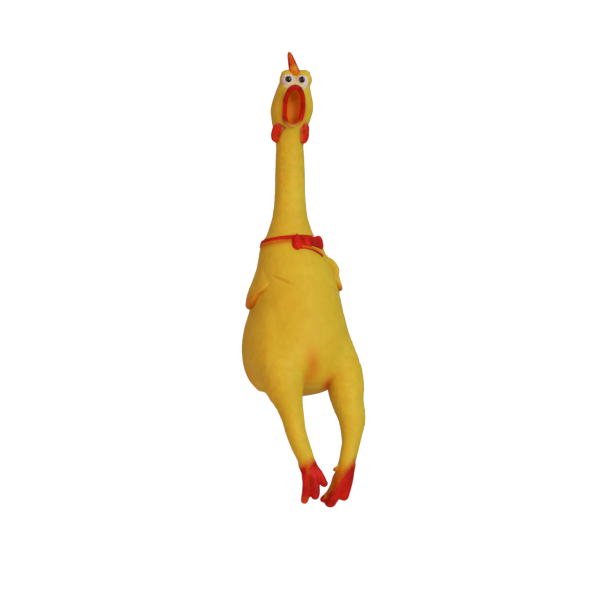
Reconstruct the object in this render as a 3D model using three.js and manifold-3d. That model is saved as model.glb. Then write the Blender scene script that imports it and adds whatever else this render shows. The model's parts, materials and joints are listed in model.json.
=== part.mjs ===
// A squawking rubber chicken: one soft hollow vinyl moulding with a reed squawker pressed into its throat.
// The moulding is divided at the lines where it bends, so that each stretch of it is a solid of its own.
// Millimetres, +Z up. The origin is in the middle of the neck, where a hand holds the toy, and its body
// hangs straight down from there. The body faces -Y and the head is turned to the chicken's right.

import * as THREE from "three";
import { mergeVertices } from "three/addons/utils/BufferGeometryUtils.js";
import Module from "manifold-3d";

const wasm = await Module();
wasm.setup();

// ---------------------------------------------------------------- driving dimensions

const WALL = 2.4; // the vinyl's thickness
const GAP = 0.35; // clearance between two solids that lie face to face
const HEAD_TURN = THREE.MathUtils.degToRad(-25); // the head's twist against the body, about +Z

// The neck and body, one row for each height: z, the section's y, its half width and its half depth.
const TRUNK = [
  [-184, -9, 6, 7],
  [-181, -9, 19, 22],
  [-174, -9.5, 32, 36],
  [-163, -10.5, 42, 45.5],
  [-150, -11.5, 46.5, 49.5],
  [-137, -12, 47.5, 50],
  [-122, -12, 45, 48],
  [-106, -11.5, 41, 43.5],
  [-90, -10.5, 37, 39],
  [-72, -8, 33, 33.5],
  [-56, -4.5, 29, 28.5],
  [-45, -1.5, 25, 24.5],
  [-34, 0, 18.8, 18.8],
  [-22, 0, 15.4, 15.4],
  [-8, 0, 13.7, 13.7],
  [10, 0, 13.1, 13.1],
  [42, 0, 12.6, 12.6],
];

// The head, drawn facing -Y: z, the section's x and y, its half width and its half depth.
const HEAD = [
  [38, 0.3, 0, 12.6, 12.8],
  [48, 0.6, -1.5, 13.6, 15],
  [56, 1, -2.5, 15.8, 17],
  [64, 1.8, -3, 18, 18.5],
  [71, 2.2, -3, 18.9, 19],
  [79, 3, -2, 17.6, 18.5],
  [87, 3.8, 0, 15.4, 17],
  [95, 4.6, 2, 12.6, 14.5],
  [101, 5, 3, 8.4, 10],
  [104, 5.2, 3.4, 3, 4],
];

// Where the soft neck bends, from the head down. Each is a ball end of the stretch above in a socket of the one below.
const NOD_Z = 27;
const TURN_Z = 8;
const SIDE_Z = -11;
const BASE_Z = -31;
const SOCKET_RIM = 0.45; // how far past the ball's centre a socket's rim is, in ball radii
const BALL_REACH = 0.9; // how far past its centre a ball goes on, in ball radii

// One leg, the chicken's left: the centre line from inside the body to the ankle, and the radius along it.
const THIGH = [
  [26, -22, -136, 17],
  [29.6, -36, -154, 18.5],
  [30.3, -47, -170, 17],
  [29.6, -54, -184, 13.8],
  [29.2, -59.5, -194, 12],
];
const KNEE = new THREE.Vector3(29, -62, -199);
const KNEE_RADIUS = 11.4;
const SHANK = [
  [29, -62, -199, 11.4],
  [27.2, -66, -211, 9.4],
  [24, -70, -223, 8.2],
  [21, -72.5, -233, 7.8],
];
const ANKLE = new THREE.Vector3(19.3, -73.5, -238);
const ANKLE_RADIUS = 7.6;

// The part of the breast that a thumb pushes in, an oval seen from the front.
const PANEL = { z: -112, halfWidth: 25, halfHeight: 31 };

const SQUAWKER = { z: 53, radius: 8.4, length: 26, flangeRadius: 10, flange: 2, wall: 1.3 };

// ---------------------------------------------------------------- materials

const paint = (color, roughness, metalness = 0) =>
  new THREE.MeshStandardMaterial({ color, roughness, metalness });
const yellowVinyl = paint(0xd9ab2c, 0.45);
const redVinyl = paint(0xb3180c, 0.4);
const orangeVinyl = paint(0xc2640a, 0.5);
const whitePaint = paint(0xe4ddcf, 0.35);
const blackPaint = paint(0x120f0d, 0.25);
const whitePlastic = paint(0xeae6da, 0.4);
const greyFilm = paint(0xb9c2c6, 0.2);

// ---------------------------------------------------------------- solids

function solidOf(geometry) {
  const bare = geometry.index ? geometry.toNonIndexed() : geometry.clone();
  bare.deleteAttribute("normal");
  bare.deleteAttribute("uv");
  const merged = mergeVertices(bare, 1e-4);
  return new wasm.Manifold(
    new wasm.Mesh({
      numProp: 3,
      vertProperties: merged.attributes.position.array,
      triVerts: new Uint32Array(merged.index.array),
    }),
  );
}

function geometryOf(solid) {
  const mesh = solid.getMesh();
  const geometry = new THREE.BufferGeometry();
  geometry.setAttribute("position", new THREE.BufferAttribute(mesh.vertProperties, 3));
  geometry.setIndex(new THREE.BufferAttribute(mesh.triVerts, 1));
  geometry.computeVertexNormals();
  return geometry;
}

// A closed skin over a row of rings with the same number of points. Rings run anticlockwise seen from the last one.
function skinOver(rings, { loop = false } = {}) {
  const sides = rings[0].length;
  const points = rings.flat();
  const triangles = [];
  const spans = loop ? rings.length : rings.length - 1;
  for (let row = 0; row < spans; row++) {
    const low = row * sides;
    const high = ((row + 1) % rings.length) * sides;
    for (let i = 0; i < sides; i++) {
      const next = (i + 1) % sides;
      triangles.push(low + i, low + next, high + next, low + i, high + next, high + i);
    }
  }
  if (!loop) {
    const cap = (ring, first, outward) => {
      const middle = points.length;
      points.push(ring.reduce((sum, p) => sum.add(p), new THREE.Vector3()).divideScalar(sides));
      for (let i = 0; i < sides; i++) {
        const next = (i + 1) % sides;
        triangles.push(middle, first + (outward ? i : next), first + (outward ? next : i));
      }
    };
    cap(rings[0], 0, false);
    cap(rings.at(-1), (rings.length - 1) * sides, true);
  }
  const geometry = new THREE.BufferGeometry().setFromPoints(points);
  geometry.setIndex(triangles);
  return solidOf(geometry);
}

function ellipse(centre, across, along, sides) {
  return Array.from({ length: sides }, (_, i) => {
    const angle = (2 * Math.PI * i) / sides;
    return centre.clone().addScaledVector(across, Math.cos(angle)).addScaledVector(along, Math.sin(angle));
  });
}

// A tube along a smooth curve through rows of x, y, z, radius. A round end closes it with a dome.
function tube(rows, { sides = 14, steps = 8, grow = 0, roundStart = false, roundEnd = false, flat = 1 } = {}) {
  const curve = new THREE.CatmullRomCurve3(rows.map(([x, y, z]) => new THREE.Vector3(x, y, z)));
  const radii = new THREE.CatmullRomCurve3(rows.map((row, i) => new THREE.Vector3(i, row[3], 0)));
  const frames = curve.computeFrenetFrames(steps);
  const rings = [];
  const ringAt = (share, frame, shift, scale) => {
    const radius = (radii.getPoint(share).y + grow) * scale;
    const across = frames.normals[frame].clone().multiplyScalar(radius);
    const along = frames.binormals[frame].clone().multiplyScalar(radius * flat);
    const centre = curve.getPoint(share).addScaledVector(frames.tangents[frame], shift);
    rings.push(ellipse(centre, across, along, sides));
  };
  const dome = [75, 50, 25].map(THREE.MathUtils.degToRad);
  if (roundStart) {
    const radius = rows[0][3] + grow;
    dome.forEach((angle) => ringAt(0, 0, -radius * Math.sin(angle), Math.cos(angle)));
  }
  for (let i = 0; i <= steps; i++) ringAt(i / steps, i, 0, 1);
  if (roundEnd) {
    const radius = rows.at(-1)[3] + grow;
    dome.reverse().forEach((angle) => ringAt(1, steps, radius * Math.sin(angle), Math.cos(angle)));
  }
  return skinOver(rings);
}

function ball(centre, radius, widthSegments = 18, heightSegments = 8) {
  const geometry = new THREE.SphereGeometry(radius, widthSegments, heightSegments);
  geometry.rotateX(Math.PI / 2);
  return solidOf(geometry.translate(...centre));
}

function rod(centre, radius, length, { axis = "z", sides = 28, topRadius = radius } = {}) {
  const geometry = new THREE.CylinderGeometry(topRadius, radius, length, sides);
  if (axis === "z") geometry.rotateX(Math.PI / 2);
  if (axis === "x") geometry.rotateZ(-Math.PI / 2);
  return solidOf(geometry.translate(...centre));
}

function block(centre, size) {
  return solidOf(new THREE.BoxGeometry(...size).translate(...centre));
}

// What is left of a solid on the side of a point that the direction points to.
function beyond(solid, point, direction) {
  const normal = direction.clone().normalize();
  return solid.trimByPlane(normal.toArray(), normal.dot(point));
}

// The largest of the pieces that a cut leaves.
function mainPiece(solid) {
  return solid.decompose().sort((a, b) => b.volume() - a.volume())[0];
}

const at = (x, y, z) => new THREE.Vector3(x, y, z);
const UP = at(0, 0, 1);

// Sections of the trunk or the head at any height, by a cubic through the table's rows.
function sectionsOf(table) {
  const heights = new Float32Array(table.map((row) => row[0]));
  const values = new Float32Array(table.flatMap((row) => row.slice(1)));
  const size = table[0].length - 1;
  const interpolant = new THREE.CubicInterpolant(heights, values, size, new Float32Array(size));
  return (z) => Array.from(interpolant.evaluate(z));
}

const trunkAt = sectionsOf(TRUNK);
const headAt = sectionsOf(HEAD);

function trunkBetween(low, high, { grow = 0, rows = 6, sides = 28 } = {}) {
  const rings = [];
  for (let i = 0; i <= rows; i++) {
    const z = THREE.MathUtils.lerp(low, high, i / rows);
    const [y, width, depth] = trunkAt(z);
    rings.push(ellipse(at(0, y, z), at(width + grow, 0, 0), at(0, depth + grow, 0), sides));
  }
  return skinOver(rings);
}

function headBetween(low, high, { grow = 0, rows = 11, sides = 22 } = {}) {
  const rings = [];
  for (let i = 0; i <= rows; i++) {
    const z = THREE.MathUtils.lerp(low, high, i / rows);
    const [x, y, width, depth] = headAt(z);
    const reach = (size) => Math.max(size + grow, 0.5);
    rings.push(ellipse(at(x, y, z), at(reach(width), 0, 0), at(0, reach(depth), 0), sides));
  }
  return skinOver(rings);
}

const ballRadius = (z) => trunkAt(z)[1];
const rimHeight = (z) => z - SOCKET_RIM * ballRadius(z);

// The ball end that a stretch of neck has at a bend, as a solid and as the hollow inside it.
function ballEnd(z) {
  const radius = ballRadius(z);
  const floor = at(0, 0, z - BALL_REACH * radius);
  return {
    outer: beyond(ball([0, 0, z], radius), floor, UP),
    inner: ball([0, 0, z], radius - WALL),
  };
}

const socket = (z) => ball([0, 0, z], ballRadius(z) + GAP);

// ---------------------------------------------------------------- neck

function neckStretch(topBend, bottomBend) {
  const end = ballEnd(bottomBend);
  const outer = trunkBetween(bottomBend, rimHeight(topBend), { rows: 3, sides: 24 }).add(end.outer);
  const hollow = trunkBetween(bottomBend, rimHeight(topBend) + 1, { grow: -WALL, rows: 3, sides: 24 });
  return outer.subtract(hollow).subtract(end.inner).subtract(socket(topBend));
}

// ---------------------------------------------------------------- body

const mirrored = (rows, side) => rows.map(([x, y, z, radius]) => [side * x, y, z, radius]);
const knee = (side) => KNEE.clone().multiply(at(side, 1, 1));
const ankle = (side) => ANKLE.clone().multiply(at(side, 1, 1));
const thighEnd = (side) => at(side * THIGH.at(-1)[0], THIGH.at(-1)[1], THIGH.at(-1)[2]);
const shankStart = (side) => at(side * SHANK[1][0], SHANK[1][1], SHANK[1][2]);
// Which way a leg runs at the knee, downwards.
const legDirection = (side) => shankStart(side).sub(thighEnd(side)).normalize();

const bodyTop = rimHeight(BASE_Z);
const bodyBottom = TRUNK[0][0];

function bodyOuter(grow = 0) {
  return trunkBetween(bodyBottom, bodyTop, { grow, rows: 16, sides: 28 });
}

function panelPrism(grow) {
  const { z, halfWidth, halfHeight } = PANEL;
  const geometry = new THREE.CylinderGeometry(1, 1, 80, 32);
  geometry.scale(halfWidth + grow, 1, halfHeight + grow).translate(0, -52, z);
  return solidOf(geometry);
}

function bodyShell() {
  let outer = bodyOuter();
  let hollow = trunkBetween(bodyBottom + WALL, bodyTop + 1, { grow: -WALL, rows: 13, sides: 24 });
  hollow = hollow.intersect(bodyOuter().translate([0, 0, WALL]).add(rod([0, 0, bodyTop], 30, 30)));
  for (const side of [-1, 1]) {
    const rows = mirrored(THIGH, side);
    const rim = knee(side).addScaledVector(legDirection(side), -SOCKET_RIM * KNEE_RADIUS);
    const thigh = tube(rows, { sides: 16, steps: 7, roundStart: true });
    outer = outer.add(beyond(thigh, rim, legDirection(side).negate()));
    outer = outer.subtract(ball(knee(side), KNEE_RADIUS + GAP, 16, 8));
    hollow = hollow.add(tube(rows, { sides: 16, steps: 7, grow: -WALL, roundStart: true }));
    const mouth = rim.clone().addScaledVector(legDirection(side), -6);
    hollow = hollow.add(tube([[...mouth, 9], [...knee(side), 9]], { sides: 16, steps: 1 }));
  }
  return outer.subtract(hollow).subtract(socket(BASE_Z));
}

const wholeBody = bodyShell();
const torsoShell = wholeBody.subtract(panelPrism(0));
const bellyPanel = wholeBody.intersect(panelPrism(-GAP));

// The folded wings lie flat along the sides, each from the shoulder down to its lifted tip.
// One row for each height: z, the section's distance from the middle, its y, its half thickness and half width.
const WINGS = {
  right: [
    [-51, 25.5, -2, 1, 2],
    [-57, 27.5, -2.5, 3.4, 8],
    [-69, 31, -3.5, 4.8, 12],
    [-83, 36, -4.5, 5.4, 13],
    [-95, 40.6, -5, 5, 10.5],
    [-101.5, 42, -5.5, 3.5, 6.5],
    [-104, 42.2, -5.5, 1, 2],
  ],
  left: [
    [-53, 26.5, -3, 1, 2],
    [-59, 31, -4, 3.5, 8],
    [-67, 35, -5, 4.8, 11],
    [-77, 37.6, -6, 5, 11.5],
    [-84, 39, -6.5, 4.4, 9],
    [-87.5, 39, -7, 2.5, 5],
    [-89, 39, -7, 0.8, 2],
  ],
};

function wing(name, side) {
  const rings = WINGS[name].toReversed().map(([z, x, y, thick, wide]) =>
    ellipse(at(side * x, y, z), at(thick, 0, 0), at(0, wide, 0), 16),
  );
  return mainPiece(skinOver(rings).subtract(bodyOuter(GAP)));
}

const TAIL = [
  [0, 26, -148, 14],
  [0, 38, -160, 13],
  [0, 49, -169, 8],
];

function tail() {
  return tube(TAIL, { roundEnd: true, steps: 5, sides: 16 }).subtract(bodyOuter(GAP + 0.1));
}

// ---------------------------------------------------------------- collar and bow

const COLLAR = { z: -47, height: 5.6, proud: 1.8, rise: 0.18 }; // rise: how much higher it sits in front

// A disc across the body at the collar, with the given height above or below its middle and reach past the body.
function collarDisc(levels) {
  const [y, width, depth] = trunkAt(COLLAR.z);
  const rings = levels.map(([z, reach]) =>
    ellipse(at(0, y, COLLAR.z + z), at(width + reach, 0, 0), at(0, depth + reach, -(depth + reach) * COLLAR.rise), 30),
  );
  return skinOver(rings);
}

function collarBand() {
  const { height, proud } = COLLAR;
  const disc = collarDisc([
    [-height / 2, proud],
    [0, proud + 0.8],
    [height / 2, proud - 1],
  ]);
  return disc.subtract(trunkBetween(COLLAR.z - 9, COLLAR.z + 9, { grow: GAP + 0.2, rows: 6, sides: 28 }));
}

const BOW = { y: -31.5, z: -45, knot: 4.6, span: 15, flare: 7.5, thickness: 4, turn: 8 };

// The bow is drawn at the front and then turned a little to the chicken's left.
const turnedBow = (solid) => solid.rotate([0, 0, BOW.turn]);

function bowKnot() {
  const geometry = new THREE.SphereGeometry(BOW.knot, 14, 10);
  geometry.scale(1, 0.8, 1.15).translate(0, BOW.y, BOW.z);
  return turnedBow(solidOf(geometry));
}

// A flared loop of the bow, from the knot out to its wide end.
function bowLoop(side, grow = 0) {
  const stations = [
    [2.5, 0.45, 0],
    [7, 0.8, 1],
    [12, 1, 3.5],
    [BOW.span, 0.85, 5.5],
  ];
  const rings = stations.map(([x, share, back]) => {
    const height = at(0, 0, BOW.flare * share + grow);
    const depth = at(0, side * (BOW.thickness * share + grow), 0);
    return ellipse(at(side * (x + grow), BOW.y + back, BOW.z), depth, height, 12);
  });
  return turnedBow(skinOver(rings));
}

function bowTail(side) {
  const rows = [
    [side * 2, BOW.y + 0.5, BOW.z - 4.5, 2],
    [side * 6.5, BOW.y - 2.5, BOW.z - 9, 2.2],
    [side * 12.5, BOW.y - 3, BOW.z - 14, 2],
  ];
  return turnedBow(tube(rows, { sides: 10, steps: 5, roundEnd: true, roundStart: true }));
}

const collarSolid = collarBand();
const bodyNearBow = bodyOuter(GAP);
const knotSolid = bowKnot().subtract(bodyNearBow).subtract(grownCollar());

function grownCollar() {
  const reach = COLLAR.proud + 0.8 + GAP;
  const height = COLLAR.height / 2 + GAP;
  return collarDisc([
    [-height, reach],
    [height, reach],
  ]);
}

function grownKnot() {
  const geometry = new THREE.SphereGeometry(BOW.knot + GAP, 14, 10);
  geometry.scale(1, 0.85, 1.15).translate(0, BOW.y, BOW.z);
  return turnedBow(solidOf(geometry));
}

const loopSolid = (side) => bowLoop(side).subtract(grownKnot()).subtract(bodyNearBow).subtract(grownCollar());
const bowTailSolid = (side) =>
  bowTail(side).subtract(grownKnot()).subtract(bodyNearBow).subtract(grownCollar())
    .subtract(bowLoop(side, GAP + 0.3)).subtract(bowLoop(-side, GAP + 0.3));

// ---------------------------------------------------------------- legs

function shank(side) {
  const rows = mirrored(SHANK, side);
  const direction = legDirection(side);
  const top = knee(side).addScaledVector(direction, -BALL_REACH * KNEE_RADIUS);
  const end = beyond(ball(knee(side), KNEE_RADIUS, 16, 8), top, direction);
  const bottom = ankle(side).sub(at(...rows.at(-1))).normalize();
  const outer = tube(rows, { sides: 16, steps: 5 }).add(end);
  const hollow = tube(rows, { sides: 16, steps: 5, grow: -WALL }).add(ball(knee(side), KNEE_RADIUS - WALL, 16, 8));
  const rim = ankle(side).addScaledVector(bottom, -SOCKET_RIM * ANKLE_RADIUS);
  return beyond(outer, rim, bottom.clone().negate())
    .subtract(hollow)
    .subtract(ball(ankle(side), ANKLE_RADIUS + GAP, 16, 8));
}

// The toes of each foot, from the ankle: x, y, z, radius. The two feet hang a little differently.
const TOES = {
  right: [
    [[-19, -73.5, -243, 6.2], [-21, -73.5, -256, 5.2], [-21.5, -70.5, -268, 4.4], [-22, -67.5, -274, 3.4]],
    [[-18, -74.5, -243, 6], [-14.5, -75.5, -256, 5], [-13, -74.5, -267, 3.9], [-12, -73.5, -271, 3.2]],
    [[-17, -72.5, -241, 5], [-9, -70.5, -248, 4.2], [-3.5, -68.5, -255, 3.2]],
    [[-19, -67.5, -243, 4.6], [-20, -61.5, -251, 4], [-20, -57.5, -259, 3]],
  ],
  left: [
    [[19, -73.5, -243, 6.2], [15, -75.5, -257, 5.2], [9.5, -73.5, -269, 4], [6, -71.5, -272, 3]],
    [[20, -73.5, -243, 6], [20, -74.5, -258, 5.4], [17, -72.5, -270, 4.8], [14.5, -70.5, -274, 4.2]],
    [[20.5, -71.5, -242, 5], [25, -69.5, -256, 4.6], [25.5, -65.5, -267, 3.8]],
    [[18, -69.5, -241, 4], [11, -64.5, -243, 3.4], [7.5, -61.5, -244, 2.6]],
  ],
};

function foot(name, side) {
  const heel = ball(ankle(side), ANKLE_RADIUS, 16, 8);
  return TOES[name].reduce(
    (sum, rows) => sum.add(tube(rows, { sides: 10, steps: 4, roundStart: true, roundEnd: true })),
    heel,
  );
}

// ---------------------------------------------------------------- head

const MOUTH = {
  x: 3.4,
  z: 73,
  halfWidth: 8.2,
  halfHeight: 17,
  lip: 2.1,
  corner: -16.5,
  upperTip: 11,
  lowerTip: 9,
};
const EYES = [-1, 1].map((side) => ({
  side,
  bulge: [MOUTH.x + 1.8 + side * 7.6, -1.5, 97.5],
  bulgeRadius: 8.3,
  white: [MOUTH.x + 1.4 + side * 6.4, -7, 96.8],
  whiteRadius: 5.4,
  pupil: [MOUTH.x + 1 + side * 5.5, -11.4, 97.2],
  pupilRadius: 2.7,
}));

// How far across the mouth an angle round it lies, in half widths. The mouth is an oval with blunted ends.
const mouthAcross = (angle) => Math.cos(angle) * (1 + 0.25 * Math.sin(angle) ** 2);

// The lip follows the open beak: forward at the two tips and back at the corners.
function lipCentre(angle) {
  const up = Math.sin(angle);
  const forward = up > 0 ? MOUTH.upperTip : MOUTH.lowerTip;
  const y = MOUTH.corner - forward * up * up;
  return at(MOUTH.x + MOUTH.halfWidth * mouthAcross(angle), y, MOUTH.z + MOUTH.halfHeight * up);
}

function lip(grow) {
  const sides = 8;
  const rows = 26;
  const rings = [];
  for (let i = 0; i < rows; i++) {
    const angle = (-2 * Math.PI * i) / rows;
    const centre = lipCentre(angle);
    const tangent = lipCentre(angle - 0.05).sub(lipCentre(angle + 0.05)).normalize();
    const out = at(Math.cos(angle), 0, Math.sin(angle));
    out.addScaledVector(tangent, -out.dot(tangent)).normalize();
    const front = new THREE.Vector3().crossVectors(tangent, out);
    const thick = MOUTH.lip + 0.4 * Math.max(0, Math.sin(angle)) + grow;
    rings.push(ellipse(centre, out.multiplyScalar(thick), front.multiplyScalar(thick * 1.2), sides));
  }
  return skinOver(rings, { loop: true });
}

// An oval around the mouth. Its share says how far it has come from a flat oval at y = back to the lip's curve.
function mouthRing(back, share, halfWidth, halfHeight, count) {
  return Array.from({ length: count }, (_, i) => {
    const angle = (2 * Math.PI * i) / count;
    const y = THREE.MathUtils.lerp(back, lipCentre(angle).y, share);
    return at(MOUTH.x + halfWidth * mouthAcross(angle), y, MOUTH.z + halfHeight * Math.sin(angle));
  });
}

// The beak is a forward swelling of the head that carries the lip.
function beakBody(grow) {
  const stations = [
    [0, 1.25, 1.04],
    [0.45, 1.22, 1.07],
    [0.8, 1.15, 1.06],
    [1, 1.08, 1.03],
  ];
  const rings = stations.map(([share, width, height]) =>
    mouthRing(0, share, MOUTH.halfWidth * width + 0.6 + grow, MOUTH.halfHeight * height + grow, 20),
  );
  return skinOver(rings);
}

// The space inside the mouth: an oval passage that runs back, and a throat that runs down to the squawker.
function mouthSpace(grow, reach = 1.25) {
  const stations = [
    [0, 0.5, 0.45],
    [0.14, 0.8, 0.72],
    [0.5, 0.9, 0.9],
    [reach, 0.95, 0.97],
  ];
  const back = 5 + grow;
  const rings = stations.map(([share, width, height]) =>
    mouthRing(back, share, MOUTH.halfWidth * width - 1.2 + grow, MOUTH.halfHeight * height - 1.2 + grow, 18),
  );
  const floor = SQUAWKER.z - grow;
  const throat = rod([0, -1, (floor + 70) / 2], 8.6 + grow, 70 - floor, { sides: 20 });
  return skinOver(rings).add(throat);
}

function headSolid(grow) {
  let solid = headBetween(NOD_Z + 8, HEAD.at(-1)[0] - (grow < 0 ? WALL : 0), { grow }).add(beakBody(grow));
  for (const eye of EYES) solid = solid.add(ball(eye.bulge, eye.bulgeRadius + grow, 18, 12));
  return solid;
}

const COMB = { base: [4, 4, 103.6], hingeRadius: 2.8, length: 24, thickness: 4.4, bend: 20 };
const COMB_LEAN = THREE.MathUtils.degToRad(-13);

// The room that the comb needs in the crown of the head to lean over to each side.
function combRoom() {
  const { base, hingeRadius, length, thickness, bend } = COMB;
  const root = rod([0, 0, 0], hingeRadius + GAP, length + 3, { axis: "y", sides: 16 });
  const blade = block([0, 0, 12], [thickness + 2 * GAP, length + 3, 24]);
  const leans = [-bend, 0, bend].map((degrees) => blade.rotate([0, degrees, 0]));
  return leans.reduce((sum, lean) => sum.add(lean), root)
    .rotate([0, THREE.MathUtils.radToDeg(COMB_LEAN), 0])
    .translate(base);
}

function headShell() {
  const end = ballEnd(NOD_Z);
  const neck = trunkBetween(NOD_Z, NOD_Z + 14, { rows: 2, sides: 24 });
  const neckHollow = trunkBetween(NOD_Z, NOD_Z + 14, { grow: -WALL, rows: 2, sides: 24 });
  let shell = headSolid(0).add(neck).add(end.outer);
  shell = shell.subtract(headSolid(-WALL)).subtract(neckHollow).subtract(end.inner);
  shell = shell.subtract(mouthSpace(WALL + GAP)).subtract(lip(GAP + 0.2));
  for (const eye of EYES) {
    shell = shell.subtract(ball(eye.white, eye.whiteRadius + GAP, 16, 10));
    shell = shell.subtract(ball(eye.pupil, eye.pupilRadius + GAP, 12, 8));
  }
  shell = shell.subtract(combRoom());
  return mainPiece(shell);
}

function mouthLining() {
  const inside = mouthSpace(WALL - 0.4, 0.98).subtract(mouthSpace(0));
  const throatHole = rod([0, -1, SQUAWKER.z - 2], SQUAWKER.radius + GAP, 12, { sides: 28 });
  return mainPiece(inside.subtract(lip(GAP + 0.2)).subtract(throatHole));
}

function eyeWhite(eye) {
  return ball(eye.white, eye.whiteRadius, 16, 10)
    .subtract(ball(eye.pupil, eye.pupilRadius + GAP, 12, 8))
    .subtract(beakBody(GAP))
    .subtract(mouthSpace(WALL + GAP))
    .subtract(lip(GAP));
}

// Three rounded points in a row from front to back, on a round root that lies in a groove of the head.
function comb() {
  const outline = new THREE.Shape();
  outline.moveTo(-11, 0);
  outline.quadraticCurveTo(-13, 9, -8.5, 14);
  outline.quadraticCurveTo(-6.5, 15, -5.5, 11);
  outline.quadraticCurveTo(-5, 19, -0.5, 21.5);
  outline.quadraticCurveTo(2, 21, 2.5, 14);
  outline.quadraticCurveTo(5, 17.5, 8, 16.5);
  outline.quadraticCurveTo(11, 13, 11, 0);
  outline.closePath();
  const bevel = 1.1;
  const blade = new THREE.ExtrudeGeometry(outline, {
    depth: COMB.thickness - 2 * bevel,
    bevelThickness: bevel,
    bevelSize: 1,
    bevelOffset: -1,
    bevelSegments: 2,
    curveSegments: 5,
  });
  blade.translate(0, 0, bevel - COMB.thickness / 2).rotateX(Math.PI / 2).rotateZ(Math.PI / 2);
  const root = rod([0, 0, 0], COMB.hingeRadius, COMB.length, { axis: "y", sides: 16 });
  return solidOf(blade).add(root);
}

function wattle(side) {
  const rows = [
    [side * 13.4 + 0.8, -8, 57.5, 4],
    [side * 14 + 0.5, -6.5, 50, 6],
    [side * 12.6 + 0.3, -4.5, 45.5, 5.4],
  ];
  const neck = trunkBetween(NOD_Z, 52, { grow: GAP, rows: 3, sides: 24 });
  return tube(rows, { sides: 12, steps: 4, roundStart: true, roundEnd: true })
    .subtract(headSolid(GAP))
    .subtract(neck);
}

// ---------------------------------------------------------------- squawker

function squawkerHousing() {
  const { z, radius, length, flangeRadius, flange, wall } = SQUAWKER;
  const barrel = rod([0, -1, z + flange - length / 2], radius, length);
  const rim = rod([0, -1, z + flange / 2 + GAP], flangeRadius - 1.6, flange, { topRadius: flangeRadius - 1.8 });
  return barrel.add(rim).subtract(rod([0, -1, z - 10], radius - wall, 60));
}

// The tone board: half a tube with a curved open face, closed at the root of the reed.
function reedSeat() {
  const { z, radius, wall } = SQUAWKER;
  const bore = radius - wall - GAP;
  const length = 18.5;
  const middle = z - length / 2 - 2;
  const trough = rod([0, -1, middle], bore, length).subtract(rod([0, -1, middle - 3], bore - 1.6, length));
  return trough.subtract(block([0, -1 - bore, middle], [20, 2 * bore, length + 2]));
}

function reed() {
  const { z, radius, wall } = SQUAWKER;
  const width = 2 * (radius - wall - GAP) - 1.4;
  return block([0, -1 - GAP - 0.25, z - 11], [width, 0.5, 16.5]);
}

// A half plug that clamps the reed's root to the tone board.
function reedWedge() {
  const { z, radius, wall } = SQUAWKER;
  const bore = radius - wall - GAP;
  const plug = rod([0, -1, z - 4.5], bore, 5);
  return plug.subtract(block([0, -1 + bore - 1.5 * GAP - 0.7, z - 4.5], [20, 2 * bore, 8]));
}

function retainingRing() {
  const { z, radius, wall, length } = SQUAWKER;
  const height = z + SQUAWKER.flange - length + 1.2;
  return rod([0, -1, height], radius - wall - GAP, 1.6).subtract(rod([0, -1, height], radius - wall - 2.6, 4));
}

function grille() {
  const { z, radius, wall } = SQUAWKER;
  const height = z + 0.9;
  let disc = rod([0, -1, height], radius - wall - GAP, 1.4);
  for (const x of [-4, 0, 4]) disc = disc.subtract(block([x, -1, height], [2, x === 0 ? 10 : 7, 4]));
  return disc;
}

// ---------------------------------------------------------------- assembly

const chicken = new THREE.Group();
const headGroup = new THREE.Group();
headGroup.rotation.z = HEAD_TURN;
chicken.add(headGroup);

function add(group, name, solid, material) {
  const mesh = new THREE.Mesh(geometryOf(solid), material);
  mesh.name = name;
  group.add(mesh);
  return mesh;
}

const sides = { left: 1, right: -1 };

add(headGroup, "head_shell", headShell(), yellowVinyl);
add(headGroup, "mouth_lining", mouthLining(), orangeVinyl);
add(headGroup, "beak_rim", lip(0), redVinyl);
for (const eye of EYES) {
  const name = eye.side > 0 ? "left" : "right";
  add(headGroup, `${name}_eye`, eyeWhite(eye), whitePaint);
  add(headGroup, `${name}_pupil`, ball(eye.pupil, eye.pupilRadius, 12, 8), blackPaint);
}
const combMesh = add(headGroup, "comb", comb(), redVinyl);
combMesh.position.set(...COMB.base);
combMesh.rotation.y = COMB_LEAN;
for (const [name, side] of Object.entries(sides)) add(headGroup, `${name}_wattle`, wattle(side), redVinyl);

add(headGroup, "squawker_housing", squawkerHousing(), whitePlastic);
add(headGroup, "squawker_grille", grille(), whitePlastic);
add(headGroup, "reed_seat", reedSeat(), whitePlastic);
add(headGroup, "reed", reed(), greyFilm);
add(headGroup, "reed_wedge", reedWedge(), whitePlastic);
add(headGroup, "retaining_ring", retainingRing(), whitePlastic);

add(chicken, "upper_neck", neckStretch(NOD_Z, TURN_Z), yellowVinyl);
add(chicken, "middle_neck", neckStretch(TURN_Z, SIDE_Z), yellowVinyl);
add(chicken, "lower_neck", neckStretch(SIDE_Z, BASE_Z), yellowVinyl);

add(chicken, "torso_shell", torsoShell, yellowVinyl);
add(chicken, "belly_panel", bellyPanel, yellowVinyl);
add(chicken, "tail", tail(), yellowVinyl);
add(chicken, "collar_band", collarSolid, redVinyl);
add(chicken, "bow_knot", knotSolid, redVinyl);
for (const [name, side] of Object.entries(sides)) {
  add(chicken, `bow_${name}_loop`, loopSolid(side), redVinyl);
  add(chicken, `bow_${name}_tail`, bowTailSolid(side), redVinyl);
  add(chicken, `${name}_wing`, wing(name, side), yellowVinyl);
  add(chicken, `${name}_shank`, shank(side), yellowVinyl);
  add(chicken, `${name}_foot`, foot(name, side), redVinyl);
}

export default chicken;
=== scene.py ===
"""A hollow vinyl rubber chicken, held by its neck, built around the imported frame.

The skin is one implicit surface, in millimetres, meshed region by region and cut where the
body's stretches meet. Each vertex keeps its rest position and its paint, so nothing slides over
the surface when a joint bends.
"""
import json
import math

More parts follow.
